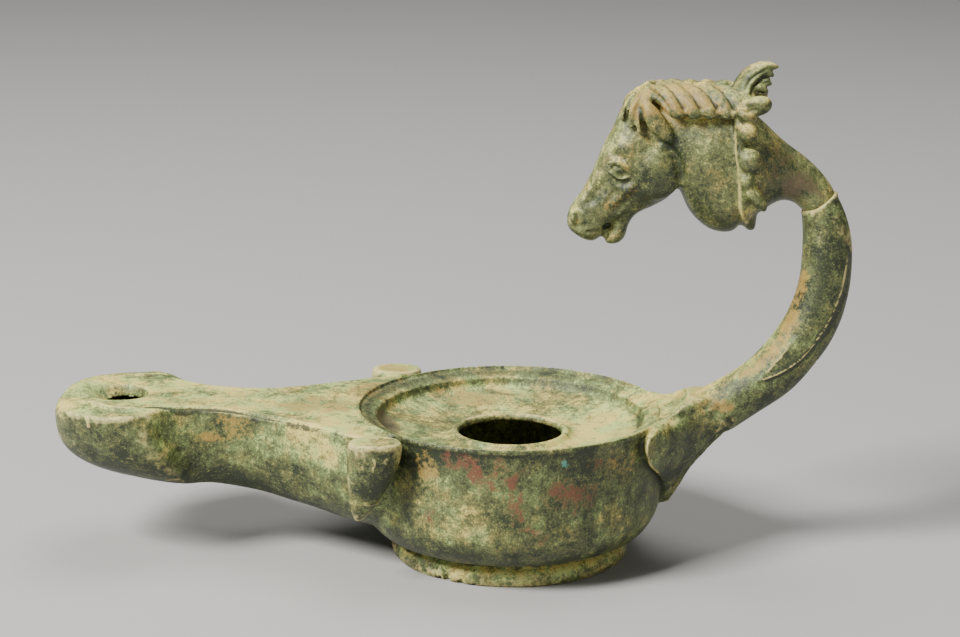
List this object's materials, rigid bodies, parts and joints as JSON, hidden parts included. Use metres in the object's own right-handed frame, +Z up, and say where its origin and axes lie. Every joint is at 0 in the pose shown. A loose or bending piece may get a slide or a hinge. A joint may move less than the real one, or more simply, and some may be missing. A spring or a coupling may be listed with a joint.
{
  "type": "roman oil lamp",
  "caption": "Bronze oil lamp with a round reservoir on a ring foot, a long nozzle with a rounded end, bud-shaped lugs and a looped handle ending in a horse's head.",
  "frame": {"origin": "under the middle of the lamp's box, on the plane that its foot stands on", "axes": "+X towards the handle and -X towards the nozzle's tip, +Z up; the lamp is the same on both sides of the XZ plane"},
  "size_m": [0.191, 0.0742, 0.1205],
  "materials": {
    "body_bronze": "cast bronze under a soft, half-matt grey-green patina with pale, ochre and red-brown patches",
    "finial_bronze": "cast bronze under a soft, half-matt olive-green patina with pale raised edges"
  },
  "bodies": {
    "root": {"lamp_body": "body_bronze", "horse_head_finial": "finial_bronze"}
  },
  "joints": []
}
